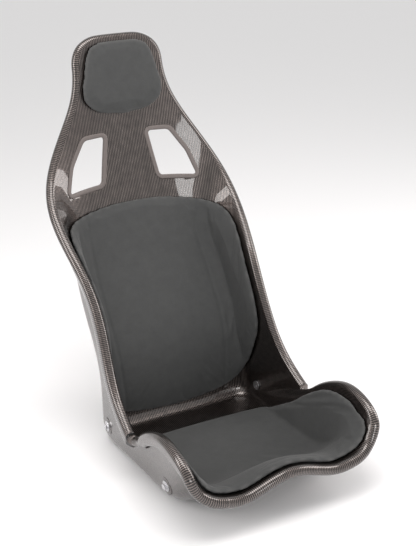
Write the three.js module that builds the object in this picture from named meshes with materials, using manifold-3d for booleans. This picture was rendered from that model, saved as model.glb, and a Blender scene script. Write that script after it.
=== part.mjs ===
// Racing seat: a one-piece carbon shell with a rolled rim, three suede-covered pads held by
// hook-and-loop tape, rubber edge trims round the belt slots, and four M8 side fixings.
// Millimetres, +Z up. The sitter faces -Y and +X is the sitter's left-hand side.
// The origin is on the floor, under the middle of the seat's bounding box.
import * as THREE from 'three';
import { mergeVertices } from 'three/addons/utils/BufferGeometryUtils.js';
import Module from 'manifold-3d';

const SKIN = 4;                 // laminate thickness of the shell
const ROLL_RADIUS = 11;         // outside radius of the rolled rim
const FLANGE = 15;              // straight return behind the roll
const GAP = 0.3;                // clearance between pieces that touch
const BOND = 0.8;               // glue under a hook tape
const FRONT_CORNER = 60;        // corner radius of the flat sheet at the front lip
const TOP_CORNER = 58;          // corner radius of the flat sheet at the head
const LIP_RISE = 27;            // how far the middle of the front lip stands above its two dips
const LIP_REACH = 1.45;         // how far back that rise fades, in stations
const LIP_HALF_WIDTH = 127;     // from the middle of the rise to each dip
const TAPE = 1.3;               // thickness of one hook tape or one loop tape
const TAPE_WIDTH = 25;
const COVER = 1.5;              // thickness of a pad's suede cover
const SLOT_WALL = 2.5;          // rubber that lines a belt slot
const TRIM_REACH = 8;           // how far a rubber trim grips the skin
const TRIM_LIP = 2.6;           // rubber on each face of the skin
const FIXING_PITCH = 290;       // M8 fixings, front to rear on each side
const FIXING_HEIGHT = 47;
const REAR_FIXING_Y = 78;
const CROTCH_SLOT = { y: -236, halfLength: 45, halfWidth: 8 };

// Sections from the front lip (0) over the rear corner (6) to the top of the head (11).
// centre: y, z of the inside skin on the middle plane. rim: x, y, z of its edge.
// corner: half width of the flat floor of the section, and the blend on each side of the corner.
const SECTIONS = [
  { centre: [-368, 82], rim: [200, -374, 107], corner: [138, 50] },
  { centre: [-300, 58], rim: [203, -349, 146], corner: [162, 48] },
  { centre: [-236, 18], rim: [205, -306, 168], corner: [182, 40] },
  { centre: [-150, 4], rim: [205, -245, 173], corner: [186, 36] },
  { centre: [-20, 4], rim: [203, -173, 146], corner: [186, 36] },
  { centre: [95, 5], rim: [203, -117, 116], corner: [186, 36] },
  { centre: [134, 44], rim: [203, -88, 104], corner: [186, 34] },
  { centre: [153, 186], rim: [194, 20, 195], corner: [185, 36] },
  { centre: [249, 344], rim: [193, 118, 368], corner: [184, 46] },
  { centre: [313, 514], rim: [207, 272, 535], corner: [132, 64] },
  { centre: [343, 701], rim: [117, 334, 706], corner: [62, 52] },
  { centre: [361, 846], rim: [101, 356, 846], corner: [52, 42] },
];
const LAST = SECTIONS.length - 1;
const NOTCH = 6;
const FRONT_PITCH = 72;         // millimetres of skin per section at the front lip
const TOP_PITCH = 146;          // and at the head

const CARBON = { color: 0x2b2624, roughness: 0.25, metalness: 0.1 };
const SUEDE = { color: 0x4b4d4c, roughness: 0.95, metalness: 0 };
const FOAM = { color: 0x3a3a3c, roughness: 1, metalness: 0 };
const RUBBER = { color: 0x5b5453, roughness: 0.7, metalness: 0 };
const TAPE_FINISH = { color: 0x161617, roughness: 0.9, metalness: 0 };
const STEEL = { color: 0xc8ccd0, roughness: 0.3, metalness: 1 };
const ALLOY = { color: 0xa9adb2, roughness: 0.4, metalness: 1 };

// ---------------------------------------------------------------- the seat's skin

function naturalSpline(values) {
  const n = values.length - 1;
  const bend = new Array(n + 1).fill(0);
  const lead = new Array(n + 1).fill(0);
  for (let i = 1; i < n; i++) {
    const jump = 6 * (values[i + 1] - 2 * values[i] + values[i - 1]);
    const pivot = 4 - lead[i - 1];
    lead[i] = 1 / pivot;
    bend[i] = (jump - bend[i - 1]) / pivot;
  }
  for (let i = n - 1; i > 0; i--) bend[i] -= lead[i] * bend[i + 1];
  return (t) => {
    const i = Math.min(Math.max(Math.floor(t), 0), n - 1);
    const s = t - i;
    const r = 1 - s;
    return r * values[i] + s * values[i + 1] + ((r ** 3 - r) * bend[i] + (s ** 3 - s) * bend[i + 1]) / 6;
  };
}

const column = (key, index) => SECTIONS.map((section) => section[key][index]);
const centreY = naturalSpline(column('centre', 0));
const centreZ = naturalSpline(column('centre', 1));
const cornerWidth = naturalSpline(column('corner', 0));
const cornerBlend = naturalSpline(column('corner', 1));

// The rim has a sharp notch where the back meets the thigh bolster, so it is two splines.
function rimSpline(index) {
  const values = column('rim', index);
  const thigh = naturalSpline(values.slice(0, NOTCH + 1));
  const back = naturalSpline(values.slice(NOTCH));
  const raw = (k) => (k < NOTCH ? thigh(k) : back(k - NOTCH));
  const soft = 0.12;
  return (k) => (raw(Math.max(k - soft, 0)) + 2 * raw(k) + raw(Math.min(k + soft, LAST))) / 4;
}
const rimX = rimSpline(0);
const rimY = rimSpline(1);
const rimZ = rimSpline(2);

// One section: floor, rounded corner and wall, drawn in the plane through the centre and the rim.
function section(k) {
  const y = centreY(k);
  const z = Math.max(centreZ(k), SKIN);
  const height = Math.hypot(rimY(k) - y, rimZ(k) - z);
  const half = cornerWidth(k);
  const wall = Math.hypot(rimX(k) - half, height);
  const blend = Math.min(cornerBlend(k), 0.9 * half, 0.9 * wall);
  const out = (rimX(k) - half) / wall;
  const up = height / wall;
  const round = blend * (1.62 + 0.38 * out);
  return {
    y, z, half, wall, blend, out, up,
    dirY: (rimY(k) - y) / height,
    dirZ: (rimZ(k) - z) / height,
    floor: half - blend,
    round,
    length: half - blend + round + wall - blend,
  };
}

// The point of the inside skin at section k, a distance s across it from the middle plane.
function skinPoint(k, s) {
  const c = section(k);
  const a = Math.abs(s);
  let x = a;
  let h = 0;
  if (a > c.floor + c.round) {
    const along = c.blend + a - c.floor - c.round;
    x = c.half + along * c.out;
    h = along * c.up;
  } else if (a > c.floor) {
    const t = (a - c.floor) / c.round;
    const near = c.half - c.blend * (1 - t) ** 2;
    x = near + c.blend * c.out * t * t;
    h = c.blend * c.up * t * t;
  }
  const swell = Math.cos(Math.min(x / LIP_HALF_WIDTH, 1) * Math.PI / 2) ** 2;
  const rise = LIP_RISE * swell * Math.exp(-((k / LIP_REACH) ** 2));
  return new THREE.Vector3(Math.sign(s) * x, c.y + h * c.dirY, c.z + h * c.dirZ + rise);
}

// The skin's normal, towards the sitter.
function skinNormal(k, s) {
  const kk = Math.min(Math.max(k, 0.02), LAST - 0.02);
  const alongK = skinPoint(kk + 0.02, s).sub(skinPoint(kk - 0.02, s));
  const acrossS = skinPoint(kk, s + 1).sub(skinPoint(kk, s - 1));
  return acrossS.cross(alongK).normalize();
}

const liftedPoint = (k, s, lift) => skinPoint(k, s).addScaledVector(skinNormal(k, s), lift);

// Where the sheet ends across, with its four corners rounded.
function edgeReach(k) {
  const corner = (radius, distance) => {
    const short = Math.max(radius - distance, 0);
    return radius - Math.sqrt(radius * radius - short * short);
  };
  const front = corner(FRONT_CORNER, k * FRONT_PITCH);
  const top = corner(TOP_CORNER, (LAST - k) * TOP_PITCH);
  return section(k).length - front - top;
}

// Finds section and distance for a point of the skin given by two of its coordinates.
function locate(axes, target, guess) {
  let [k, s] = guess;
  const miss = (kk, ss) => axes.map((axis, i) => skinPoint(kk, ss)[axis] - target[i]);
  for (let turn = 0; turn < 12; turn++) {
    const m = miss(k, s);
    const dk = miss(k + 0.01, s).map((v, i) => (v - m[i]) / 0.01);
    const ds = miss(k, s + 0.5).map((v, i) => (v - m[i]) / 0.5);
    const det = dk[0] * ds[1] - dk[1] * ds[0];
    k -= (m[0] * ds[1] - m[1] * ds[0]) / det;
    s -= (dk[0] * m[1] - dk[1] * m[0]) / det;
  }
  return [k, s];
}

// ---------------------------------------------------------------- mesh and solid helpers

const root = new THREE.Group();

function addPiece(name, geometry, finish) {
  const mesh = new THREE.Mesh(geometry, new THREE.MeshStandardMaterial(finish));
  mesh.name = name;
  root.add(mesh);
  return mesh;
}

function meshFrom(points, triangles) {
  const geometry = new THREE.BufferGeometry();
  geometry.setAttribute('position', new THREE.Float32BufferAttribute(points.flatMap((p) => p.toArray()), 3));
  geometry.setIndex(triangles);
  geometry.computeVertexNormals();
  return geometry;
}

const wasm = await Module();
wasm.setup();

function toSolid(geometry) {
  const bare = geometry.clone();
  bare.deleteAttribute('normal');
  bare.deleteAttribute('uv');
  const merged = mergeVertices(bare, 1e-4);
  return new wasm.Manifold(new wasm.Mesh({
    numProp: 3,
    vertProperties: new Float32Array(merged.attributes.position.array),
    triVerts: new Uint32Array(merged.index.array),
  }));
}

function fromSolid(solid) {
  const mesh = solid.getMesh();
  const geometry = new THREE.BufferGeometry();
  geometry.setAttribute('position', new THREE.BufferAttribute(new Float32Array(mesh.vertProperties), 3));
  geometry.setIndex(new THREE.BufferAttribute(new Uint32Array(mesh.triVerts), 1));
  geometry.computeVertexNormals();
  return geometry;
}

// Rings of points, each joined to the next; closed makes the last join the first again.
function ringsToMesh(rings, closed) {
  const count = rings[0].length;
  const points = rings.flat();
  const triangles = [];
  const pairs = closed ? rings.length : rings.length - 1;
  for (let r = 0; r < pairs; r++) {
    const next = (r + 1) % rings.length;
    for (let i = 0; i < count; i++) {
      const j = (i + 1) % count;
      const a = r * count + i;
      const b = r * count + j;
      const c = next * count + i;
      const d = next * count + j;
      triangles.push(a, b, d, a, d, c);
    }
  }
  return { points, triangles };
}

// ---------------------------------------------------------------- the shell

const SHELL_COLUMNS = [0, 0.13, 0.26, 0.38, 0.48, 0.57, 0.65, 0.73, 0.81, 0.9, 1];
const CORNER_ROWS = 4;
const ROLL_STEPS = 5;

function shellRows() {
  const rows = [];
  for (let i = 0; i < CORNER_ROWS; i++) {
    const angle = (i / CORNER_ROWS) * Math.PI / 2;
    rows.push((1 - Math.cos(angle)) * FRONT_CORNER / FRONT_PITCH);
  }
  for (let k = FRONT_CORNER / FRONT_PITCH; k < 4.95; k += 0.28) rows.push(k);
  for (let k = 5.0; k < 7; k += 0.2) rows.push(k);
  for (let k = 7.05; k < LAST - TOP_CORNER / TOP_PITCH - 0.1; k += 0.2) rows.push(k);
  for (let i = CORNER_ROWS; i >= 0; i--) {
    const angle = (i / CORNER_ROWS) * Math.PI / 2;
    rows.push(LAST - (1 - Math.cos(angle)) * TOP_CORNER / TOP_PITCH);
  }
  return rows;
}

function makeShell(clearance = 0) {
  const shares = [...SHELL_COLUMNS.slice(1).map((c) => -c).reverse(), ...SHELL_COLUMNS];
  const rows = shellRows();
  const width = shares.length;
  const points = rows.flatMap((k) => shares.map((share) => skinPoint(k, share * edgeReach(k))));
  const triangles = [];
  for (let r = 0; r < rows.length - 1; r++) {
    for (let c = 0; c < width - 1; c++) {
      const a = r * width + c;
      const b = a + width;
      if (c < SHELL_COLUMNS.length - 1) triangles.push(a, a + 1, b, a + 1, b + 1, b);
      else triangles.push(a, a + 1, b + 1, a, b + 1, b);
    }
  }

  // The open edge, walked once round: front, +X side, top, -X side.
  const last = rows.length - 1;
  const loop = [];
  for (let c = 0; c < width; c++) loop.push(c);
  for (let r = 1; r <= last; r++) loop.push(r * width + width - 1);
  for (let c = width - 2; c >= 0; c--) loop.push(last * width + c);
  for (let r = last - 1; r > 0; r--) loop.push(r * width);

  const sheet = meshFrom(points, triangles);
  const normalOf = (i) => new THREE.Vector3().fromBufferAttribute(sheet.attributes.normal, i);
  const frames = loop.map((vertex, i) => {
    const ahead = points[loop[(i + 1) % loop.length]];
    const behind = points[loop[(i + loop.length - 1) % loop.length]];
    const tangent = ahead.clone().sub(behind).normalize();
    const normal = normalOf(vertex);
    normal.addScaledVector(tangent, -normal.dot(tangent)).normalize();
    return { edge: points[vertex], normal, rise: tangent.clone().cross(normal).normalize() };
  });

  // The roll turns the edge over, away from the sitter, and the flange runs back behind it.
  const steps = [];
  for (let i = 1; i <= ROLL_STEPS; i++) steps.push({ angle: (i / ROLL_STEPS) * Math.PI, back: 0 });
  steps.push({ angle: Math.PI, back: FLANGE });
  let previous = loop;
  for (const step of steps) {
    const first = points.length;
    for (const { edge, normal, rise } of frames) {
      const up = ROLL_RADIUS * Math.sin(step.angle) - step.back;
      const out = ROLL_RADIUS * (1 - Math.cos(step.angle));
      points.push(edge.clone().addScaledVector(rise, up).addScaledVector(normal, -out));
    }
    const ring = loop.map((_, i) => first + i);
    for (let i = 0; i < loop.length; i++) {
      const j = (i + 1) % loop.length;
      triangles.push(previous[i], ring[i], previous[j], previous[j], ring[i], ring[j]);
    }
    previous = ring;
  }

  // Thicken away from the sitter, and close the edge of the flange.
  const skin = meshFrom(points, triangles);
  const count = points.length;
  const normals = points.map((_, i) => new THREE.Vector3().fromBufferAttribute(skin.attributes.normal, i));
  const inner = points.map((p, i) => p.clone().addScaledVector(normals[i], clearance));
  const outer = points.map((p, i) => p.clone().addScaledVector(normals[i], -SKIN - clearance));
  for (const q of outer) q.z = Math.max(q.z, -clearance);
  const solid = [...triangles];
  for (let i = 0; i < triangles.length; i += 3) {
    solid.push(triangles[i] + count, triangles[i + 2] + count, triangles[i + 1] + count);
  }
  for (let i = 0; i < previous.length; i++) {
    const j = (i + 1) % previous.length;
    solid.push(previous[i], previous[i] + count, previous[j]);
    solid.push(previous[j], previous[i] + count, previous[j] + count);
  }
  return meshFrom([...inner, ...outer], solid);
}

// ---------------------------------------------------------------- belt slots and their trims

// The clear opening of the belt slot at +X, seen from the front: x and z of its four corners.
const BELT_SLOT = [[55, 632], [74, 527], [160, 520], [106, 630]];
const BELT_SLOT_BULGE = 9;      // how far the outer side bows out
const SLOT_CORNER = 9;
const SLOT_STEPS = 40;
const CROTCH_STEPS = 28;

// A closed outline with rounded corners, as evenly spaced points.
function roundedOutline(corners, radius, count) {
  const path = new THREE.Path();
  const n = corners.length;
  const vectors = corners.map((c) => new THREE.Vector2(...c));
  for (let i = 0; i < n; i++) {
    const here = vectors[i];
    const before = vectors[(i + n - 1) % n];
    const after = vectors[(i + 1) % n];
    const enter = here.clone().add(before.clone().sub(here).setLength(radius));
    const leave = here.clone().add(after.clone().sub(here).setLength(radius));
    if (i === 0) path.moveTo(enter.x, enter.y);
    else path.lineTo(enter.x, enter.y);
    path.quadraticCurveTo(here.x, here.y, leave.x, leave.y);
  }
  path.closePath();
  return path.getSpacedPoints(count).slice(0, count);
}

function beltSlotCorners() {
  const [top, bottom, low, high] = BELT_SLOT;
  const middle = [(low[0] + high[0]) / 2 + BELT_SLOT_BULGE, (low[1] + high[1]) / 2 + 1];
  return [top, bottom, low, middle, high];
}

// Grows an outline of points outward by a distance.
function grow(outline, distance) {
  const n = outline.length;
  const area = outline.reduce((sum, p, i) => sum + p.cross(outline[(i + 1) % n]), 0);
  return outline.map((p, i) => {
    const t = outline[(i + 1) % n].clone().sub(outline[(i + n - 1) % n]).normalize();
    return p.clone().add(new THREE.Vector2(t.y, -t.x).multiplyScalar(Math.sign(area) * distance));
  });
}

// A straight prism through the shell along one row axis.
function prism(outline, axis, from, to) {
  const depth = to - from;
  const shape = new THREE.Shape(outline.map((p) => p.clone()));
  const geometry = new THREE.ExtrudeGeometry(shape, { depth, bevelEnabled: false, steps: 1 });
  if (axis === 'y') {
    geometry.rotateX(Math.PI / 2);
    geometry.translate(0, to, 0);
  } else {
    geometry.translate(0, 0, from);
  }
  return toSolid(geometry);
}

// A rubber bar swept round a slot: places are the points of its cut edge as [k, s] pairs.
function trimBar(places) {
  const n = places.length;
  const middles = places.map(([k, s]) => liftedPoint(k, s, -SKIN / 2));
  const half = SKIN / 2 + TRIM_LIP;
  const profile = [
    [-SLOT_WALL, -half + 1], [-SLOT_WALL, half - 1], [-SLOT_WALL + 1, half],
    [TRIM_REACH - 1, half], [TRIM_REACH, half - 1], [TRIM_REACH, -half + 1],
    [TRIM_REACH - 1, -half], [-SLOT_WALL + 1, -half],
  ];
  const rings = places.map(([k, s], i) => {
    const normal = skinNormal(k, s);
    const tangent = middles[(i + 1) % n].clone().sub(middles[(i + n - 1) % n]).normalize();
    const outward = tangent.cross(normal).normalize();
    return profile.map(([reach, lift]) => middles[i].clone()
      .addScaledVector(outward, reach).addScaledVector(normal, lift));
  });
  const { points, triangles } = ringsToMesh(rings, true);
  return toSolid(meshFrom(points, triangles));
}

// Cuts a slot through the shell and grips its edge with a U-section trim.
function fitSlot(name, clear, axis, [from, to], axes, guessK) {
  const cut = grow(clear, SLOT_WALL);
  shell = shell.subtract(prism(cut, axis, from, to));
  const gripped = shellWithClearance.subtract(prism(grow(clear, SLOT_WALL - GAP), axis, from, to));
  const places = cut.map((p) => locate(axes, [p.x, p.y], [guessK, p.x]));
  addPiece(name, fromSolid(trimBar(places).subtract(gripped)), RUBBER);
}

// ---------------------------------------------------------------- pads

// Outline of the +X half of each pad as [section, distance across the skin], front or bottom
// middle first. The other half is its mirror image.
const HEAD_PAD = {
  centre: 10.45,
  half: [[9.875, 0], [9.89, 30], [9.93, 64], [10.04, 91], [10.2, 98], [10.42, 91], [10.75, 79],
    [10.87, 70], [10.95, 52], [10.975, 0]],
  thickness: 9,
  rings: [0, 0.35, 0.66],
};
const BACK_PAD = {
  centre: 7.4,
  half: [[5.78, 0], [5.84, 60], [5.93, 110], [6.08, 152], [6.33, 192], [6.65, 224], [7.0, 256],
    [7.35, 286], [7.7, 296], [8.06, 284], [8.3, 262], [8.48, 232], [8.62, 190], [8.76, 110], [8.82, 0]],
  thickness: 11,
  rings: [0, 0.2, 0.34, 0.48, 0.62, 0.76],
};
const SEAT_PAD = {
  centre: 2.5,
  half: [[0.08, 0], [0.09, 80], [0.13, 128], [0.3, 172], [0.75, 222], [1.4, 276], [2.3, 334],
    [3.2, 354], [3.85, 358], [4.1, 336], [4.16, 290], [4.32, 240], [4.46, 150], [4.5, 0]],
  thickness: 9,
  rings: [0, 0.2, 0.4, 0.55, 0.67, 0.78],
};
const PAD_STEPS = 40;

function padOutline(pad) {
  const other = pad.half.slice(1, -1).map(([k, s]) => [k, -s]).reverse();
  const loop = [...pad.half, ...other].map(([k, s]) => new THREE.Vector3(k * 100, s, 0));
  const curve = new THREE.CatmullRomCurve3(loop, true, 'centripetal');
  return curve.getSpacedPoints(PAD_STEPS).slice(0, PAD_STEPS).map((p) => [p.x / 100, p.y]);
}

// A closed solid swept round the pad: profile is [share of the outline, lift above the skin],
// from the middle on top, out over the edge, and back to the middle underneath.
function padSolid(pad, profile) {
  const outline = padOutline(pad);
  const count = outline.length;
  const points = [];
  const triangles = [];
  const first = [];
  for (const [share, lift] of profile) {
    first.push(points.length);
    if (share === 0) {
      points.push(liftedPoint(pad.centre, 0, lift));
      continue;
    }
    for (const [k, s] of outline) {
      points.push(liftedPoint(pad.centre + (k - pad.centre) * share, s * share, lift));
    }
  }
  for (let r = 0; r < profile.length - 1; r++) {
    const fanIn = profile[r][0] === 0;
    const fanOut = profile[r + 1][0] === 0;
    const inward = profile[r + 1][0] < profile[r][0];
    for (let i = 0; i < count; i++) {
      const j = (i + 1) % count;
      const a = fanIn ? first[r] : first[r] + i;
      const b = fanIn ? first[r] : first[r] + j;
      const c = fanOut ? first[r + 1] : first[r + 1] + i;
      const d = fanOut ? first[r + 1] : first[r + 1] + j;
      // The same diagonal on the pad's top and underside, mirrored between its two sides.
      if (fanIn) triangles.push(a, c, d);
      else if (fanOut) triangles.push(a, d, b);
      else if (inward === i < count / 2) triangles.push(a, c, b, b, c, d);
      else triangles.push(a, d, b, a, c, d);
    }
  }
  return meshFrom(points, triangles);
}

const TAPE_STACK = BOND + 2 * TAPE + 2 * GAP;

const ringsAt = (pad, lift) => pad.rings.map((share) => [share, lift]);

function coverProfile(pad) {
  const low = TAPE_STACK;
  const high = TAPE_STACK + pad.thickness;
  const inside = high - COVER;
  const deep = pad.thickness;
  return [
    ...ringsAt(pad, high), [0.88, high], [0.96, high - 0.13 * deep], [0.995, high - 0.45 * deep], [1, low],
    [0.975, low], [0.972, high - 0.5 * deep], [0.945, inside - 0.15 * deep], [0.87, inside],
    ...ringsAt(pad, inside).reverse(),
  ];
}

function foamProfile(pad) {
  const low = TAPE_STACK + GAP;
  const high = TAPE_STACK + pad.thickness - COVER - 2 * GAP;
  const deep = pad.thickness;
  return [
    ...ringsAt(pad, high), [0.87, high], [0.93, high - 0.2 * deep], [0.952, high - 0.42 * deep], [0.955, low],
    ...ringsAt(pad, low).reverse(),
  ];
}

// ---------------------------------------------------------------- hook-and-loop tape

// Middle of each tape of the +X side as [section, x], with its length along the seat.
const TAPES = {
  head: { at: [[10.45, 45]], length: 90 },
  back: { at: [[6.9, 95], [8.1, 95]], length: 130 },
  seat: { at: [[2.75, 110], [3.75, 110]], length: 80 },
};
const TAPE_STEPS = 6;

function tapeSolid(k, x, length, low, high, side) {
  const step = skinPoint(k + 0.05, 0).distanceTo(skinPoint(k - 0.05, 0)) / 0.1;
  const rings = [];
  for (let i = 0; i <= TAPE_STEPS; i++) {
    const kk = k + (i / TAPE_STEPS - 0.5) * length / step;
    const near = x - TAPE_WIDTH / 2;
    const far = x + TAPE_WIDTH / 2;
    const places = side > 0 ? [near, x, far] : [-far, -x, -near];
    rings.push([
      ...places.map((s) => liftedPoint(kk, s, high)),
      ...places.reverse().map((s) => liftedPoint(kk, s, low)),
    ]);
  }
  const { points, triangles } = ringsToMesh(rings, false);
  const end = (rings.length - 1) * 6;
  for (const [a, b, c] of [[0, 5, 1], [1, 5, 4], [1, 4, 2], [2, 4, 3]]) {
    triangles.push(a, b, c);
    triangles.push(end + a, end + c, end + b);
  }
  return meshFrom(points, triangles);
}

// ---------------------------------------------------------------- side fixings

const BOLT = { hole: 4.3, shank: 4, head: 7.5, headHeight: 5.3, washer: 12, washerThickness: 1.8 };
const INSERT = { body: 7, flange: 11, flangeThickness: 1.6 };
const ROUND = 24;
const LAND = 0.8;               // flat laminate pad round each fixing, on both faces of the skin
const LAND_RADIUS = 20;
const WASHER_SEAT = 13;         // raised ring of the land that carries the washer
const SEAT_STEP = 0.2;

function ringGeometry(profile) {
  const points = profile.map(([r, y]) => new THREE.Vector2(r, y));
  points.push(points[0].clone());
  return new THREE.LatheGeometry(points, ROUND);
}

// Turns a piece modelled along +Y so that +Y points out of the seat at a fixing.
function placeFixing(mesh, fixing) {
  mesh.quaternion.setFromUnitVectors(new THREE.Vector3(0, 1, 0), fixing.out);
  mesh.position.copy(fixing.seatFace);
  return mesh;
}

// A solid disc round a fixing's axis, between two distances out from the skin's outer face.
function discAt(fixing, radius, from, to) {
  const disc = new THREE.CylinderGeometry(radius, radius, to - from, ROUND);
  disc.translate(0, (from + to) / 2, 0);
  const mesh = placeFixing(new THREE.Mesh(disc), fixing);
  mesh.updateMatrixWorld();
  return toSolid(disc.applyMatrix4(mesh.matrixWorld));
}

function fixings() {
  const list = [];
  for (const side of [1, -1]) {
    for (const [name, y] of [['rear', REAR_FIXING_Y], ['front', REAR_FIXING_Y - FIXING_PITCH]]) {
      const [k, s] = locate(['y', 'z'], [y, FIXING_HEIGHT], name === 'rear' ? [5.5, 225] : [2.7, 225]);
      const out = skinNormal(k, s * side).negate();
      const seatFace = skinPoint(k, s * side).addScaledVector(out, SKIN);
      list.push({ label: `${name}_${side > 0 ? 'left' : 'right'}`, out, seatFace });
    }
  }
  return list;
}

// ---------------------------------------------------------------- assembly

let shell = toSolid(makeShell());
const shellWithClearance = toSolid(makeShell(GAP));

const slotPlan = roundedOutline(beltSlotCorners(), SLOT_CORNER, SLOT_STEPS);
const mirrored = slotPlan.map((p) => new THREE.Vector2(-p.x, p.y)).reverse();
fitSlot('belt_slot_trim_left', slotPlan, 'y', [120, 420], ['x', 'z'], 9.4);
fitSlot('belt_slot_trim_right', mirrored, 'y', [120, 420], ['x', 'z'], 9.4);

const { y: crotchY, halfLength, halfWidth } = CROTCH_SLOT;
const crotchCorners = [
  [-halfLength, crotchY - halfWidth], [halfLength, crotchY - halfWidth],
  [halfLength, crotchY + halfWidth], [-halfLength, crotchY + halfWidth],
];
const crotchPlan = roundedOutline(crotchCorners, halfWidth - 1, CROTCH_STEPS);
fitSlot('crotch_slot_trim', crotchPlan, 'z', [-20, 120], ['x', 'y'], 2.0);

for (const fixing of fixings()) {
  shell = shell.add(discAt(fixing, LAND_RADIUS, -SKIN - LAND, LAND));
  shell = shell.add(discAt(fixing, WASHER_SEAT, -SKIN, LAND + SEAT_STEP));
  shell = shell.subtract(discAt(fixing, INSERT.body + GAP, -15, 15));

  const inner = -SKIN - LAND - GAP;
  const insert = ringGeometry([
    [BOLT.hole, LAND - GAP], [INSERT.body, LAND - GAP], [INSERT.body, inner], [INSERT.flange, inner],
    [INSERT.flange, inner - INSERT.flangeThickness], [BOLT.hole, inner - INSERT.flangeThickness],
  ].reverse());
  placeFixing(addPiece(`insert_${fixing.label}`, insert, ALLOY), fixing);

  const washerFoot = LAND + SEAT_STEP + GAP;
  const washerTop = washerFoot + BOLT.washerThickness;
  const washer = ringGeometry([
    [BOLT.hole, washerFoot], [BOLT.washer, washerFoot], [BOLT.washer, washerTop], [BOLT.hole, washerTop],
  ]);
  placeFixing(addPiece(`washer_${fixing.label}`, washer, STEEL), fixing);

  const seat = washerTop + GAP;
  const end = inner - INSERT.flangeThickness;
  const head = new THREE.CylinderGeometry(BOLT.head, BOLT.head, BOLT.headHeight, 6);
  head.translate(0, seat + BOLT.headHeight / 2, 0);
  const shank = new THREE.CylinderGeometry(BOLT.shank, BOLT.shank, seat - end + 1, ROUND);
  shank.translate(0, (seat + end + 1) / 2, 0);
  const bolt = fromSolid(toSolid(head).add(toSolid(shank)));
  placeFixing(addPiece(`bolt_${fixing.label}`, bolt, STEEL), fixing);
}
addPiece('carbon_shell', fromSolid(shell), CARBON);

const PADS = { head: HEAD_PAD, back: BACK_PAD, seat: SEAT_PAD };
for (const [name, pad] of Object.entries(PADS)) {
  let cover = toSolid(padSolid(pad, coverProfile(pad)));
  let foam = toSolid(padSolid(pad, foamProfile(pad)));
  if (name === 'seat') {
    cover = cover.subtract(prism(crotchPlan, 'z', 0, 160));
    foam = foam.subtract(prism(grow(crotchPlan, TRIM_REACH + 2), 'z', 0, 160));
  }
  addPiece(`${name}_pad_cover`, fromSolid(cover), SUEDE);
  addPiece(`${name}_pad_foam`, fromSolid(foam), FOAM);
  const { at, length } = TAPES[name];
  at.forEach(([k, x], i) => {
    for (const side of [1, -1]) {
      const label = `${name}_${i + 1}_${side > 0 ? 'left' : 'right'}`;
      const hook = tapeSolid(k, x, length, BOND, BOND + TAPE, side);
      const loop = tapeSolid(k, x, length, BOND + TAPE + GAP, BOND + 2 * TAPE + GAP, side);
      addPiece(`hook_tape_${label}`, hook, TAPE_FINISH);
      addPiece(`loop_tape_${label}`, loop, TAPE_FINISH);
    }
  });
}

export default root;
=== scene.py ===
import math

import bmesh
import bpy
import numpy as np
from mathutils import Matrix, Vector
from mathutils.bvhtree import BVHTree


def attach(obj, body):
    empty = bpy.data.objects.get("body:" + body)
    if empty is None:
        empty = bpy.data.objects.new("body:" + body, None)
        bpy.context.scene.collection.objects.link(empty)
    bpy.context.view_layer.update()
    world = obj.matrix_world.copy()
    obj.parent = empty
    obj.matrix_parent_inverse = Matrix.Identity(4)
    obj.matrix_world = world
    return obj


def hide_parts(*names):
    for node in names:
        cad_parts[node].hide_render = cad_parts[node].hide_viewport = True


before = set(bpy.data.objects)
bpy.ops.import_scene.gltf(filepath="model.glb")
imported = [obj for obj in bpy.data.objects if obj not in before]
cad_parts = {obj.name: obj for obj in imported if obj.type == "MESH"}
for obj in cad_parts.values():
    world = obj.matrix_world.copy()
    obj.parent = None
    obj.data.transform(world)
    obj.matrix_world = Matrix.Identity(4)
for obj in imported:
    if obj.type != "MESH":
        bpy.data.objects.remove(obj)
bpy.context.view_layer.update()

# ---- Camera ------------------------------------------------------------------------------
# Where a person stands to look the seat over: a little to its right-hand front and above it,
# with a long lens so that the flanks stay upright.
camera_data = bpy.data.cameras.new("camera")
camera_data.sensor_fit = "HORIZONTAL"
camera_data.sensor_width = 36.0
camera_data.lens = 95.2
camera = bpy.data.objects.new("camera", camera_data)
bpy.context.scene.collection.objects.link(camera)
look_right = Vector((0.8775, -0.4787, -0.0273))
look_up = Vector((0.1912, 0.2972, 0.9355))
look_back = Vector((-0.4397, -0.8261, 0.3523))
camera_turn = Matrix((look_right, look_up, look_back)).transposed().to_4x4()
camera.matrix_world = Matrix.Translation((-1.00875, -1.94473, 1.21872)) @ camera_turn
bpy.context.scene.camera = camera

bpy.context.scene.view_settings.view_transform = "Standard"

# ---- Studio floor and lights -------------------------------------------------------------
# A plain pale floor under the pan, and soft boxes: a wide one over the seat, a tall one on
# each side, and a low one in front that lights the rolled lip.
floor_mesh = bpy.data.meshes.new("studio_floor")
floor_mesh.from_pydata([(-30, -30, 0), (30, -30, 0), (30, 30, 0), (-30, 30, 0)], [], [(0, 1, 2, 3)])
studio_floor = bpy.data.objects.new("studio_floor", floor_mesh)
studio_floor.location.z = -0.0006
bpy.context.scene.collection.objects.link(studio_floor)
floor_finish = bpy.data.materials.new("pale_floor")
floor_finish.use_nodes = True
floor_shader = floor_finish.node_tree.nodes["Principled BSDF"]
floor_shader.inputs["Base Color"].default_value = (0.86, 0.86, 0.87, 1)
floor_shader.inputs["Roughness"].default_value = 0.8
floor_mesh.materials.append(floor_finish)

sky = bpy.data.worlds.new("studio")
sky.use_nodes = True
sky.node_tree.nodes["Background"].inputs["Color"].default_value = (1.0, 0.99, 0.98, 1)
sky.node_tree.nodes["Background"].inputs["Strength"].default_value = 0.8
bpy.context.scene.world = sky


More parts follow.
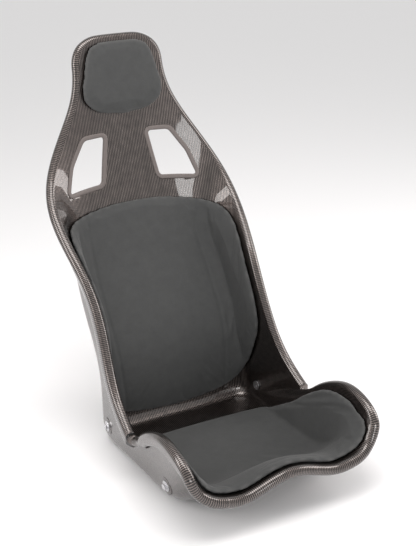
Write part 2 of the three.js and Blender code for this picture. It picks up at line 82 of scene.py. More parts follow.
def soft_box(name, place, aim, width, height, power, colour=(1, 1, 1)):
    lamp = bpy.data.lights.new(name, "AREA")
    lamp.shape = "RECTANGLE"
    lamp.size = width
    lamp.size_y = height
    lamp.energy = power
    lamp.color = colour
    box = bpy.data.objects.new(name, lamp)
    box.location = place
    box.rotation_euler = (Vector(aim) - Vector(place)).to_track_quat("-Z", "Y").to_euler()
    bpy.context.scene.collection.objects.link(box)


soft_box("overhead_box", (-0.2, -0.4, 2.4), (0, 0, 0.3), 1.6, 1.2, 30, (1.0, 0.97, 0.95))
soft_box("right_box", (1.9, -0.6, 1.3), (0, 0, 0.4), 0.7, 1.6, 22, (1.0, 0.95, 0.93))
soft_box("left_box", (-2.0, 0.2, 1.2), (0, 0, 0.4), 0.5, 1.6, 16, (1.0, 0.96, 0.94))
soft_box("front_box", (-0.3, -2.6, 0.9), (0, 0, 0.3), 1.4, 0.5, 14)

# ---- Carbon shell ------------------------------------------------------------------------
# The seat is one shell of clear-coated carbon cloth, 4 mm thick, laid up in a female mould.
# Its edge is rolled over all round, with a short straight return behind the roll, and a flat
# land is left in the skin round each of the four side fixings.
SKIN = 4.0
ROLL_RADIUS = 11.0
FLANGE = 15.0
FRONT_CORNER, FRONT_PITCH = 60.0, 72.0
TOP_CORNER, TOP_PITCH = 58.0, 146.0
LIP_RISE, LIP_REACH, LIP_HALF_WIDTH = 27.0, 1.45, 127.0

# Sections from the front lip over the rear corner to the top of the head, in millimetres:
# centre y, z; rim x, y, z; half width of the flat floor; blend of the corner.
SECTIONS = np.array([
    [-368, 82, 200, -374, 107, 138, 50],
    [-300, 58, 203, -349, 146, 162, 48],
    [-236, 18, 205, -306, 168, 182, 40],
    [-150, 4, 205, -245, 173, 186, 36],
    [-20, 4, 203, -173, 146, 186, 36],
    [95, 5, 203, -117, 116, 186, 36],
    [134, 44, 203, -88, 104, 186, 34],
    [153, 186, 194, 20, 195, 185, 36],
    [249, 344, 193, 118, 368, 184, 46],
    [313, 514, 207, 272, 535, 132, 64],
    [343, 701, 117, 334, 706, 62, 52],
    [361, 846, 101, 356, 846, 52, 42],
], dtype=float)
LAST = len(SECTIONS) - 1
NOTCH = 6


def natural_spline(values):
    n = len(values) - 1
    matrix = np.eye(n + 1)
    jumps = np.zeros(n + 1)
    for i in range(1, n):
        matrix[i, i - 1:i + 2] = (1, 4, 1)
        jumps[i] = 6 * (values[i + 1] - 2 * values[i] + values[i - 1])
    bend = np.linalg.solve(matrix, jumps)

    def at(t):
        i = np.clip(np.floor(t).astype(int), 0, n - 1)
        s = t - i
        r = 1 - s
        bow = ((r ** 3 - r) * bend[i] + (s ** 3 - s) * bend[i + 1]) / 6
        return r * values[i] + s * values[i + 1] + bow
    return at


def rim_spline(column):
    thigh = natural_spline(SECTIONS[:NOTCH + 1, column])
    back = natural_spline(SECTIONS[NOTCH:, column])

    def raw(k):
        return np.where(k < NOTCH, thigh(np.minimum(k, NOTCH)), back(np.maximum(k, NOTCH) - NOTCH))
    return lambda k: (raw(np.maximum(k - 0.12, 0)) + 2 * raw(k) + raw(np.minimum(k + 0.12, LAST))) / 4


centre_y, centre_z = natural_spline(SECTIONS[:, 0]), natural_spline(SECTIONS[:, 1])
rim_x, rim_y, rim_z = rim_spline(2), rim_spline(3), rim_spline(4)
corner_width, corner_blend = natural_spline(SECTIONS[:, 5]), natural_spline(SECTIONS[:, 6])


def section(k):
    y = centre_y(k)
    z = np.maximum(centre_z(k), SKIN)
    height = np.hypot(rim_y(k) - y, rim_z(k) - z)
    half = corner_width(k)
    wall = np.hypot(rim_x(k) - half, height)
    blend = np.minimum(np.minimum(corner_blend(k), 0.9 * half), 0.9 * wall)
    out = (rim_x(k) - half) / wall
    around = blend * (1.62 + 0.38 * out)
    length = half - blend + around + wall - blend
    return y, z, height, half, wall, blend, out, around, length


def skin_point(k, s):
    k, s = np.broadcast_arrays(np.asarray(k, dtype=float), np.asarray(s, dtype=float))
    y, z, height, half, wall, blend, out, around, _ = section(k)
    up = height / wall
    a = np.abs(s)
    flat = half - blend
    t = np.clip((a - flat) / around, 0, 1)
    along = blend + a - flat - around
    bent_x = half - blend * (1 - t) ** 2 + blend * out * t * t
    x = np.where(a > flat + around, half + along * out, np.where(a > flat, bent_x, a))
    h = np.where(a > flat + around, along * up, blend * up * t * t)
    swell = np.cos(np.minimum(x / LIP_HALF_WIDTH, 1) * math.pi / 2) ** 2
    rise = LIP_RISE * swell * np.exp(-(k / LIP_REACH) ** 2)
    lean_y = (rim_y(k) - y) / height
    lean_z = (rim_z(k) - z) / height
    return np.stack([np.sign(s) * x, y + h * lean_y, z + h * lean_z + rise], axis=-1)


def skin_normal(k, s):
    kk = np.clip(k, 0.02, LAST - 0.02)
    along = skin_point(kk + 0.02, s) - skin_point(kk - 0.02, s)
    across = skin_point(kk, s + 1.0) - skin_point(kk, s - 1.0)
    normal = np.cross(across, along)
    return normal / np.linalg.norm(normal, axis=-1, keepdims=True)


def lifted(k, s, lift):
    return skin_point(k, s) + skin_normal(k, s) * np.asarray(lift)[..., None]


def edge_reach(k):
    def corner(radius, distance):
        short = np.maximum(radius - distance, 0)
        return radius - np.sqrt(radius * radius - short * short)
    length = section(k)[-1]
    return length - corner(FRONT_CORNER, k * FRONT_PITCH) - corner(TOP_CORNER, (LAST - k) * TOP_PITCH)


def locate(axes, target, guess_k):
    """Section and distance of skin points, from two of their coordinates."""
    k = np.full(len(target), float(guess_k))
    s = target[:, 0].astype(float).copy()
    for _ in range(14):
        miss = skin_point(k, s)[:, axes] - target
        dk = (skin_point(k + 0.01, s)[:, axes] - target - miss) / 0.01
        ds = (skin_point(k, s + 0.5)[:, axes] - target - miss) / 0.5
        det = dk[:, 0] * ds[:, 1] - dk[:, 1] * ds[:, 0]
        k = k - (miss[:, 0] * ds[:, 1] - miss[:, 1] * ds[:, 0]) / det
        s = s - (dk[:, 0] * miss[:, 1] - dk[:, 1] * miss[:, 0]) / det
    return k, s


def rounded_outline(corners, radius, count):
    """A closed outline with rounded corners, as evenly spaced points."""
    corners = np.array(corners, dtype=float)
    path = []
    for i, here in enumerate(corners):
        to_before = corners[i - 1] - here
        to_after = corners[(i + 1) % len(corners)] - here
        enter = here + to_before / np.linalg.norm(to_before) * radius
        leave = here + to_after / np.linalg.norm(to_after) * radius
        for t in np.linspace(0, 1, 9):
            path.append((1 - t) ** 2 * enter + 2 * t * (1 - t) * here + t * t * leave)
    path = np.array(path + [path[0]])
    run = np.concatenate([[0], np.cumsum(np.linalg.norm(np.diff(path, axis=0), axis=1))])
    where = np.linspace(0, run[-1], count, endpoint=False)
    return np.stack([np.interp(where, run, path[:, 0]), np.interp(where, run, path[:, 1])], axis=1)


def grow(outline, distance):
    ahead = np.roll(outline, -1, axis=0)
    behind = np.roll(outline, 1, axis=0)
    area = np.sum(outline[:, 0] * ahead[:, 1] - outline[:, 1] * ahead[:, 0])
    t = ahead - behind
    t /= np.linalg.norm(t, axis=1, keepdims=True)
    return outline + np.stack([t[:, 1], -t[:, 0]], axis=1) * np.sign(area) * distance


def inside(outline, points):
    hit = np.zeros(len(points), dtype=bool)
    for (x1, y1), (x2, y2) in zip(outline, np.roll(outline, -1, axis=0)):
        crosses = (y1 > points[:, 1]) != (y2 > points[:, 1])
        with np.errstate(divide="ignore", invalid="ignore"):
            edge = x1 + (points[:, 1] - y1) * (x2 - x1) / (y2 - y1)
        hit ^= crosses & (points[:, 0] < edge)
    return hit


# Clear openings of the belt slots: x, z on the back, x, y on the pan.
SLOT_WALL = 2.5
belt_slot = rounded_outline([[55, 632], [74, 527], [160, 520], [142, 576], [106, 630]], 9, 120)
CROTCH_Y, CROTCH_HALF_LENGTH, CROTCH_HALF_WIDTH = -236, 45, 8
crotch_slot = rounded_outline([
    [-CROTCH_HALF_LENGTH, CROTCH_Y - CROTCH_HALF_WIDTH], [CROTCH_HALF_LENGTH, CROTCH_Y - CROTCH_HALF_WIDTH],
    [CROTCH_HALF_LENGTH, CROTCH_Y + CROTCH_HALF_WIDTH], [-CROTCH_HALF_LENGTH, CROTCH_Y + CROTCH_HALF_WIDTH],
], 7, 90)

corner_turn = 1 - np.cos(np.linspace(0, math.pi / 2, 13))
front_rows = corner_turn * FRONT_CORNER / FRONT_PITCH
top_rows = LAST - (corner_turn * TOP_CORNER / TOP_PITCH)[::-1]
long_rows = np.linspace(front_rows[-1], top_rows[0], 236)[1:-1]
row_k = np.concatenate([front_rows, long_rows, top_rows])
shares = np.linspace(-1, 1, 161)
grid_k = np.repeat(row_k[:, None], len(shares), axis=1)
grid_s = edge_reach(row_k)[:, None] * shares[None, :]
sheet = skin_point(grid_k, grid_s)
sheet_normal = skin_normal(grid_k, grid_s)
spine = skin_point(row_k, np.zeros(len(row_k)))
spine_run = np.concatenate([[0], np.cumsum(np.linalg.norm(np.diff(spine, axis=0), axis=1))])
sheet_uv = np.stack([grid_s, np.repeat(spine_run[:, None], len(shares), axis=1)], axis=-1)

rows, width = grid_k.shape
ids = np.arange(rows * width).reshape(rows, width)
points = sheet.reshape(-1, 3)
weave = sheet_uv.reshape(-1, 2)
quads = np.stack([ids[:-1, :-1], ids[:-1, 1:], ids[1:, 1:], ids[1:, :-1]], axis=-1).reshape(-1, 4)

# Cloth is cut away at the belt slots; the rubber trims hide the raw edge.
middles = points[quads].mean(axis=1)
right_slot = belt_slot * (-1, 1)
cut_edge = SLOT_WALL + 1.5
cut = (middles[:, 2] > 480) & (inside(grow(belt_slot, cut_edge), middles[:, [0, 2]])
                               | inside(grow(right_slot, cut_edge), middles[:, [0, 2]]))
cut |= (middles[:, 2] < 80) & inside(grow(crotch_slot, cut_edge), middles[:, [0, 1]])
quads = quads[~cut]

edge_loop = np.concatenate([ids[0, :], ids[1:, -1], ids[-1, -2::-1], ids[-2:0:-1, 0]])
edge = points[edge_loop]
tangent = np.roll(edge, -1, axis=0) - np.roll(edge, 1, axis=0)
tangent /= np.linalg.norm(tangent, axis=1, keepdims=True)
edge_normal = sheet_normal.reshape(-1, 3)[edge_loop]
edge_normal = edge_normal - tangent * np.sum(edge_normal * tangent, axis=1, keepdims=True)
edge_normal /= np.linalg.norm(edge_normal, axis=1, keepdims=True)
edge_rise = np.cross(tangent, edge_normal)

# The cloth is turned on the roll, so that its ribs stand square to the rim.
roll_steps = [(a, 0.0) for a in np.linspace(0, math.pi, 15)[1:]]
roll_steps += [(math.pi, FLANGE * f) for f in (0.33, 0.66, 1.0)]
edge_gap = np.linalg.norm(np.roll(edge, -1, axis=0) - edge, axis=1)
edge_run = np.concatenate([[0], np.cumsum(edge_gap)])
quad_uv = weave[quads]
previous = edge_loop
round_before = 0.0
for angle, back in roll_steps:
    up = ROLL_RADIUS * math.sin(angle) - back
    out = ROLL_RADIUS * (1 - math.cos(angle))
    ring = len(points) + np.arange(len(edge_loop))
    points = np.concatenate([points, edge + edge_rise * up - edge_normal * out])
    round_now = ROLL_RADIUS * angle + back
    strip = np.stack([previous, ring, np.roll(ring, -1), np.roll(previous, -1)], axis=-1)
    here, ahead = edge_run[:-1], edge_run[1:]
    low, high = np.full(len(here), round_before), np.full(len(here), round_now)
    strip_uv = np.stack([np.stack([here, low], axis=1), np.stack([here, high], axis=1),
                         np.stack([ahead, high], axis=1), np.stack([ahead, low], axis=1)], axis=1)
    quads = np.concatenate([quads, strip])
    quad_uv = np.concatenate([quad_uv, strip_uv])
    previous = ring
    round_before = round_now


def place_piece(name, verts, faces, body, node=None, smooth=True):
    mesh = bpy.data.meshes.new(name)
    mesh.from_pydata([tuple(v) for v in verts], [], [tuple(int(i) for i in f) for f in faces])
    if smooth:
        mesh.shade_smooth()
    piece = bpy.data.objects.new(name, mesh)
    bpy.context.scene.collection.objects.link(piece)
    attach(piece, body)
    if node:
        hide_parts(*([node] if isinstance(node, str) else node))
    return piece


def corners_of(piece, uv):
    loops = np.zeros(len(piece.data.loops), dtype=int)
    piece.data.loops.foreach_get("vertex_index", loops)
    return uv[loops]


def weave_uv(piece, corner_uv):
    layer = piece.data.uv_layers.new(name="weave")
    layer.data.foreach_set("uv", corner_uv.ravel() / 1000)


used = np.unique(quads)
renumber = np.zeros(len(points), dtype=int)
renumber[used] = np.arange(len(used))
shell = place_piece("rolled_carbon_shell", points[used] / 1000, renumber[quads], "shell",
                    "carbon_shell")
weave_uv(shell, quad_uv.reshape(-1, 2))
laminate = shell.modifiers.new("laminate", "SOLIDIFY")
laminate.thickness = SKIN / 1000
laminate.offset = -1


def shader_of(finish):
    finish.use_nodes = True
    return finish.node_tree.nodes["Principled BSDF"]


def add_node(finish, kind, operation=None, values=(), **links):
    """A shader node; values fill its sockets in order, links join sockets by name."""
    node = finish.node_tree.nodes.new(kind)
    if operation:
        node.operation = operation
    for i, value in enumerate(values):
        if value is None:
            continue
        if isinstance(value, bpy.types.NodeSocket):
            finish.node_tree.links.new(value, node.inputs[i])
        else:
            node.inputs[i].default_value = value
    return node


def sum_of(finish, operation, *values):
    return add_node(finish, "ShaderNodeMath", operation, values).outputs[0]


def blend_colours(finish, share, low, high):
    mix = finish.node_tree.nodes.new("ShaderNodeMix")
    mix.data_type = "RGBA"
    finish.node_tree.links.new(share, mix.inputs[0])
    for socket, value in ((mix.inputs[6], low), (mix.inputs[7], high)):
        if isinstance(value, bpy.types.NodeSocket):
            finish.node_tree.links.new(value, socket)
        else:
            socket.default_value = (*value, 1)
    return mix.outputs[2]


def bumped(finish, height, strength, distance):
    bump = finish.node_tree.nodes.new("ShaderNodeBump")
    bump.inputs["Strength"].default_value = strength
    bump.inputs["Distance"].default_value = distance
    finish.node_tree.links.new(height, bump.inputs["Height"])
    return bump.outputs["Normal"]


# Twill of 2 mm tows, laid so that pairs of tows catch the light as pale ribs 4 mm apart, with
# the crossing tows showing as a fine step along each rib, under a thick polished clear coat.
RIB = 0.004
TOW = 0.002
carbon = bpy.data.materials.new("clear_coated_twill")
carbon_shader = shader_of(carbon)
cloth_uv = carbon.node_tree.nodes.new("ShaderNodeUVMap")
cloth_uv.uv_map = "weave"
cloth_axes = add_node(carbon, "ShaderNodeSeparateXYZ", None, [cloth_uv.outputs[0]])
across, along = cloth_axes.outputs[0], cloth_axes.outputs[1]
crossing = sum_of(carbon, "SINE", sum_of(carbon, "MULTIPLY", along, math.pi / TOW))
rib_phase = sum_of(carbon, "MULTIPLY_ADD", across, 2 * math.pi / RIB, sum_of(carbon, "MULTIPLY", crossing, 0.5))
rib = sum_of(carbon, "MULTIPLY_ADD", sum_of(carbon, "SINE", rib_phase), 0.5, 0.5)
rib_share = sum_of(carbon, "POWER", rib, 2.0)
tow_tone = add_node(carbon, "ShaderNodeTexNoise", None, [cloth_uv.outputs[0]])
tow_tone.inputs["Scale"].default_value = 60
pale_tow = blend_colours(carbon, tow_tone.outputs[0], (0.07, 0.058, 0.053), (0.26, 0.215, 0.198))
tow_colour = blend_colours(carbon, rib_share, (0.006, 0.005, 0.005), pale_tow)
carbon.node_tree.links.new(tow_colour, carbon_shader.inputs["Base Color"])
rib_height = sum_of(carbon, "MULTIPLY_ADD", crossing, 0.25, rib)
carbon.node_tree.links.new(bumped(carbon, rib_height, 0.5, 0.0004), carbon_shader.inputs["Normal"])
lay_noise = add_node(carbon, "ShaderNodeTexNoise")
lay_noise.inputs["Scale"].default_value = 9
carbon.node_tree.links.new(sum_of(carbon, "MULTIPLY_ADD", lay_noise.outputs[0], 0.12, 0.26),
                           carbon_shader.inputs["Roughness"])
carbon_shader.inputs["Metallic"].default_value = 0.9
carbon_shader.inputs["Coat Weight"].default_value = 1.0
carbon_shader.inputs["Coat Roughness"].default_value = 0.03
carbon_shader.inputs["Coat IOR"].default_value = 1.5
shell.data.materials.append(carbon)

# ---- Belt slot trims ---------------------------------------------------------------------
# Extruded rubber channel with a rounded back, pushed over the raw edge of the shoulder belt
# slots and of the crotch slot, so that the belts don't rub on cut carbon.
TRIM_REACH, TRIM_LIP = 8.0, 2.6

trim_half = SKIN / 2 + TRIM_LIP
trim_nose, trim_tail = -SLOT_WALL, TRIM_REACH
trim_profile = []
for turn in np.linspace(0, 2 * math.pi, 25)[:-1]:
    bulge = 4.0
    x = (trim_nose + trim_tail) / 2 + np.sign(math.cos(turn)) * (trim_tail - trim_nose) / 2 * abs(math.cos(turn)) ** (2 / bulge)
    y = np.sign(math.sin(turn)) * trim_half * abs(math.sin(turn)) ** (2 / bulge)
    trim_profile.append((x, y))
trim_profile = np.array(trim_profile)


def slot_trim(name, clear, axes_pair, guess_k, node):
    cut_line = grow(clear, SLOT_WALL)
    k, s = locate(axes_pair, cut_line, guess_k)
    middle = lifted(k, s, np.full(len(k), -SKIN / 2))
    normal = skin_normal(k, s)
    along = np.roll(middle, -1, axis=0) - np.roll(middle, 1, axis=0)
    along /= np.linalg.norm(along, axis=1, keepdims=True)
    outward = np.cross(along, normal)
    outward /= np.linalg.norm(outward, axis=1, keepdims=True)
    slot_middle = middle.mean(axis=0)
    if np.sum(outward * (middle - slot_middle)) < 0:
        outward = -outward
    rings = (middle[:, None, :] + outward[:, None, :] * trim_profile[None, :, 0, None]
             + normal[:, None, :] * trim_profile[None, :, 1, None])
    n, m = rings.shape[:2]
    numbers = np.arange(n * m).reshape(n, m)
    faces = np.stack([numbers, np.roll(numbers, -1, axis=1), np.roll(np.roll(numbers, -1, axis=0), -1, axis=1),
                      np.roll(numbers, -1, axis=0)], axis=-1).reshape(-1, 4)
    piece = place_piece(name, rings.reshape(-1, 3) / 1000, faces, "shell", node)
    turn_outward(piece)
    return piece


def turn_outward(piece):
    shape = bmesh.new()
    shape.from_mesh(piece.data)
    bmesh.ops.recalc_face_normals(shape, faces=shape.faces)
    shape.to_mesh(piece.data)
    shape.free()


trims = [
    slot_trim("left_belt_slot_trim", belt_slot, [0, 2], 9.4, "belt_slot_trim_left"),
    slot_trim("right_belt_slot_trim", right_slot, [0, 2], 9.4, "belt_slot_trim_right"),
    slot_trim("crotch_belt_slot_trim", crotch_slot, [0, 1], 2.0, "crotch_slot_trim"),
]
trim_rubber = bpy.data.materials.new("extruded_rubber")
rubber_shader = shader_of(trim_rubber)
rubber_noise = add_node(trim_rubber, "ShaderNodeTexNoise")
rubber_noise.inputs["Scale"].default_value = 260
rubber_noise.inputs["Detail"].default_value = 4
rubber_colour = blend_colours(trim_rubber, rubber_noise.outputs[0], (0.085, 0.07, 0.066), (0.15, 0.128, 0.12))
trim_rubber.node_tree.links.new(rubber_colour, rubber_shader.inputs["Base Color"])
trim_rubber.node_tree.links.new(bumped(trim_rubber, rubber_noise.outputs[0], 0.2, 0.0003),
                                rubber_shader.inputs["Normal"])
rubber_shader.inputs["Roughness"].default_value = 0.45
for trim in trims:
    trim.data.materials.append(trim_rubber)

# ---- Side fixings ------------------------------------------------------------------------
# Two M8 hexagon-head bolts a side, bright zinc-plated, each with a plain washer, screwed
# into an alloy insert bonded through the laminate, on a flat land of extra cloth.
FIXING_HEIGHT, REAR_FIXING_Y, FIXING_PITCH = 47.0, 78.0, 290.0
LAND, LAND_RADIUS, GAP = 0.8, 20.0, 0.3
WASHER_RADIUS, WASHER_THICKNESS = 12.0, 1.8
HEAD_ACROSS_CORNERS, HEAD_HEIGHT = 7.5, 5.3


def turned(profile, steps=48):
    """Verts and faces of a turned piece: profile is radius, height from the axis and back."""
    verts = []
    faces = []
    for radius, height in profile:
        for i in range(steps):
            angle = 2 * math.pi * i / steps
            verts.append((radius * math.cos(angle), radius * math.sin(angle), height))
    for r in range(len(profile) - 1):
        for i in range(steps):
            j = (i + 1) % steps
            faces.append((r * steps + i, r * steps + j, (r + 1) * steps + j, (r + 1) * steps + i))
    faces.append(tuple(range(steps))[::-1])
    faces.append(tuple((len(profile) - 1) * steps + i for i in range(steps)))
    return np.array(verts), faces


def hexagon_head(steps=96):
    """A chamfered hexagon head: the chamfer is a cone that trims the six corners."""
    flat = HEAD_ACROSS_CORNERS * math.cos(math.pi / 6)
    turn = 2 * math.pi * np.arange(steps) / steps
    local = (turn + math.pi / 6) % (math.pi / 3) - math.pi / 6
    radius = flat / np.cos(local)
    chamfer = flat * 0.97
    drop = np.maximum(radius - chamfer, 0) * 0.55
    levels = [(radius * 0.985, np.zeros(steps)), (radius, np.full(steps, 0.25)), (radius, HEAD_HEIGHT - drop - 0.1),
              (radius - 0.12, HEAD_HEIGHT - drop), (np.full(steps, chamfer), np.full(steps, HEAD_HEIGHT)),
              (np.full(steps, chamfer * 0.62), np.full(steps, HEAD_HEIGHT)),
              (np.full(steps, chamfer * 0.58), np.full(steps, HEAD_HEIGHT - 0.25)),
              (np.full(steps, 0.4), np.full(steps, HEAD_HEIGHT - 0.25))]
    verts = np.concatenate([np.stack([r * np.cos(turn), r * np.sin(turn), h], axis=1) for r, h in levels])
    faces = []
    for level in range(len(levels) - 1):
        for i in range(steps):
            j = (i + 1) % steps
            faces.append((level * steps + i, level * steps + j, (level + 1) * steps + j, (level + 1) * steps + i))
    faces.append(tuple(range(steps))[::-1])
    faces.append(tuple((len(levels) - 1) * steps + i for i in range(steps)))
    return verts, faces


zinc = bpy.data.materials.new("bright_zinc_plate")
zinc_shader = shader_of(zinc)
zinc_noise = add_node(zinc, "ShaderNodeTexNoise")
zinc_noise.inputs["Scale"].default_value = 420
zinc_colour = blend_colours(zinc, zinc_noise.outputs[0], (0.55, 0.55, 0.57), (0.82, 0.82, 0.84))
zinc.node_tree.links.new(zinc_colour, zinc_shader.inputs["Base Color"])
zinc.node_tree.links.new(sum_of(zinc, "MULTIPLY_ADD", zinc_noise.outputs[0], 0.25, 0.12),
                         zinc_shader.inputs["Roughness"])
zinc_shader.inputs["Metallic"].default_value = 1.0

alloy = bpy.data.materials.new("turned_alloy")
alloy_shader = shader_of(alloy)
alloy_waves = add_node(alloy, "ShaderNodeTexWave")
alloy_waves.inputs["Scale"].default_value = 700
alloy_colour = blend_colours(alloy, alloy_waves.outputs[0], (0.42, 0.43, 0.45), (0.6, 0.61, 0.63))
alloy.node_tree.links.new(alloy_colour, alloy_shader.inputs["Base Color"])
alloy_shader.inputs["Metallic"].default_value = 1.0
alloy_shader.inputs["Roughness"].default_value = 0.38

for side, side_name in ((1, "left"), (-1, "right")):
    for end_name, fixing_y, guess in (("rear", REAR_FIXING_Y, 5.5), ("front", REAR_FIXING_Y - FIXING_PITCH, 2.7)):
        k = np.array([guess])
        s = np.array([225.0])
        goal = np.array([[fixing_y, FIXING_HEIGHT]])
        for _ in range(14):
            miss = skin_point(k, s)[:, [1, 2]] - goal
            dk = (skin_point(k + 0.01, s)[:, [1, 2]] - goal - miss) / 0.01
            ds = (skin_point(k, s + 0.5)[:, [1, 2]] - goal - miss) / 0.5
            det = dk[:, 0] * ds[:, 1] - dk[:, 1] * ds[:, 0]
            k = k - (miss[:, 0] * ds[:, 1] - miss[:, 1] * ds[:, 0]) / det
            s = s - (dk[:, 0] * miss[:, 1] - dk[:, 1] * miss[:, 0]) / det
        out_way = -skin_normal(k, s * side)[0]
        seat_face = skin_point(k, s * side)[0] + out_way * SKIN
        turn_matrix = np.array(Vector(out_way).to_track_quat("Z", "Y").to_matrix())

        def at_fixing(verts, lift):
            return (seat_face + out_way * lift + verts @ turn_matrix.T) / 1000

        label = f"{end_name}_{side_name}"
        land_verts, land_faces = turned([(LAND_RADIUS, -2.0), (LAND_RADIUS, LAND * 0.35),
                                         (LAND_RADIUS - 0.7, LAND * 0.85), (LAND_RADIUS - 2.2, LAND),
                                         (1.0, LAND)])
        land = place_piece(f"fixing_land_{label}", at_fixing(land_verts, 0), land_faces, "shell", None)
        weave_uv(land, corners_of(land, land_verts[:, :2] + (s[0] * side, fixing_y)))
        land.data.materials.append(carbon)
        washer_verts, washer_faces = turned([(11.6, 0), (WASHER_RADIUS, 0.3), (WASHER_RADIUS, WASHER_THICKNESS - 0.3),
                                             (11.6, WASHER_THICKNESS), (5.0, WASHER_THICKNESS)])
        washer = place_piece(f"plain_washer_{label}", at_fixing(washer_verts, LAND), washer_faces, "shell",
                             f"washer_{label}")
        washer.data.materials.append(zinc)
        head_verts, head_faces = hexagon_head()
        bolt = place_piece(f"hexagon_bolt_{label}", at_fixing(head_verts, LAND + WASHER_THICKNESS), head_faces,
                           "shell", f"bolt_{label}")
        bolt.data.materials.append(zinc)
        for piece in (washer, bolt):
            sharp = piece.modifiers.new("crisp_edges", "EDGE_SPLIT")
            sharp.split_angle = math.radians(28)
        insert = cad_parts[f"insert_{label}"]
        insert.data.materials.clear()
        insert.data.materials.append(alloy)

# ---- Hook-and-loop tape ------------------------------------------------------------------
# 25 mm black woven tape: the hook side is glued to the shell and the loop side is sewn to
# the back of each pad, which is how the pads hold on and peel off.
tape_cloth = bpy.data.materials.new("hook_and_loop")
tape_shader = shader_of(tape_cloth)
tape_cells = add_node(tape_cloth, "ShaderNodeTexVoronoi")
tape_cells.inputs["Scale"].default_value = 900
tape_colour = blend_colours(tape_cloth, tape_cells.outputs[0], (0.03, 0.03, 0.032), (0.006, 0.006, 0.007))
tape_cloth.node_tree.links.new(tape_colour, tape_shader.inputs["Base Color"])
tape_cloth.node_tree.links.new(bumped(tape_cloth, tape_cells.outputs[0], 0.8, 0.0008),
                               tape_shader.inputs["Normal"])
tape_shader.inputs["Roughness"].default_value = 0.85
for name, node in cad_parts.items():
    if "_tape_" in name:
        node.data.materials.clear()
        node.data.materials.append(tape_cloth)

# ---- Pads --------------------------------------------------------------------------------
# Three loose pads: foam in a sewn cover of dark grey suede cloth, domed a little by the foam
# and rolled over at the edges. Each lies on its tapes a few millimetres off the skin.
TAPE_STACK = 0.8 + 2 * 1.3 + 2 * GAP
PAD_RINGS = 26

skin_sheet = skin_point(np.repeat(np.linspace(0, LAST, 330)[:, None], 121, axis=1),
                        section(np.linspace(0, LAST, 330))[-1][:, None] * np.linspace(-1, 1, 121)[None, :])
skin_ids = np.arange(330 * 121).reshape(330, 121)
skin_faces = np.stack([skin_ids[:-1, :-1], skin_ids[:-1, 1:], skin_ids[1:, 1:], skin_ids[1:, :-1]], axis=-1)
skin_tree = BVHTree.FromPolygons((skin_sheet.reshape(-1, 3) / 1000).tolist(), skin_faces.reshape(-1, 4).tolist())


def pad_outline(half, count=180):
    """The closed outline through the half outline and its mirror image, evenly spaced."""
    loop = np.array(list(half) + [(k, -s) for k, s in half[1:-1]][::-1]) * (100, 1)
    path = []
    for i in range(len(loop)):
        p = [loop[(i + j) % len(loop)] for j in (-1, 0, 1, 2)]
        t = [0.0]
        for a, b in zip(p, p[1:]):
            t.append(t[-1] + max(np.linalg.norm(b - a), 1e-6) ** 0.5)
        for u in np.linspace(t[1], t[2], 24, endpoint=False):
            a = [(t[j + 1] - u) / (t[j + 1] - t[j]) * p[j] + (u - t[j]) / (t[j + 1] - t[j]) * p[j + 1]
                 for j in range(3)]
            b = [(t[j + 2] - u) / (t[j + 2] - t[j]) * a[j] + (u - t[j]) / (t[j + 2] - t[j]) * a[j + 1]
                 for j in range(2)]
            path.append((t[2] - u) / (t[2] - t[1]) * b[0] + (u - t[1]) / (t[2] - t[1]) * b[1])
    path = np.array(path + [path[0]])
    run = np.concatenate([[0], np.cumsum(np.linalg.norm(np.diff(path, axis=0), axis=1))])
    where = np.linspace(0, run[-1], count, endpoint=False)
    return np.stack([np.interp(where, run, path[:, 0]) / 100, np.interp(where, run, path[:, 1])], axis=1)


def pad_shape(half, centre, thickness, inset):
    """The pad's closed shape: crowned on top, rolled at the edge, flat underneath."""
    outline = pad_outline(half)
    top = TAPE_STACK + thickness - inset
    profile = [(r, top) for r in np.linspace(0, 0.94, PAD_RINGS)]
    for turn in np.linspace(0, math.pi / 2, 8)[1:]:
        profile.append((0.94 + 0.058 * math.sin(turn), top - (thickness * 0.7) * (1 - math.cos(turn))))
    profile.append((0.998, 3.2))
    profile.append((0.985, 2.0))
    profile.append((0.95, TAPE_STACK + 0.4))
    profile += [(r, TAPE_STACK + 0.4) for r in np.linspace(0.9, 0, PAD_RINGS)]
    verts = []
    faces = []
    count = len(outline)
    for share, lift in profile[1:-1]:
        k = centre + (outline[:, 0] - centre) * share
        s = outline[:, 1] * share
        verts.append(lifted(k, s, np.full(count, lift)))
    levels = len(verts)
    verts = np.concatenate(verts + [lifted(np.array([centre]), np.array([0.0]), np.array([profile[0][1]])),
                                    lifted(np.array([centre]), np.array([0.0]), np.array([profile[-1][1]]))])
    for level in range(levels - 1):
        for i in range(count):
            j = (i + 1) % count
            faces.append((level * count + i, (level + 1) * count + i, (level + 1) * count + j, level * count + j))
    for i in range(count):
        j = (i + 1) % count
        faces.append((levels * count, i, j))
        faces.append((levels * count + 1, (levels - 1) * count + j, (levels - 1) * count + i))
    return verts / 1000, faces


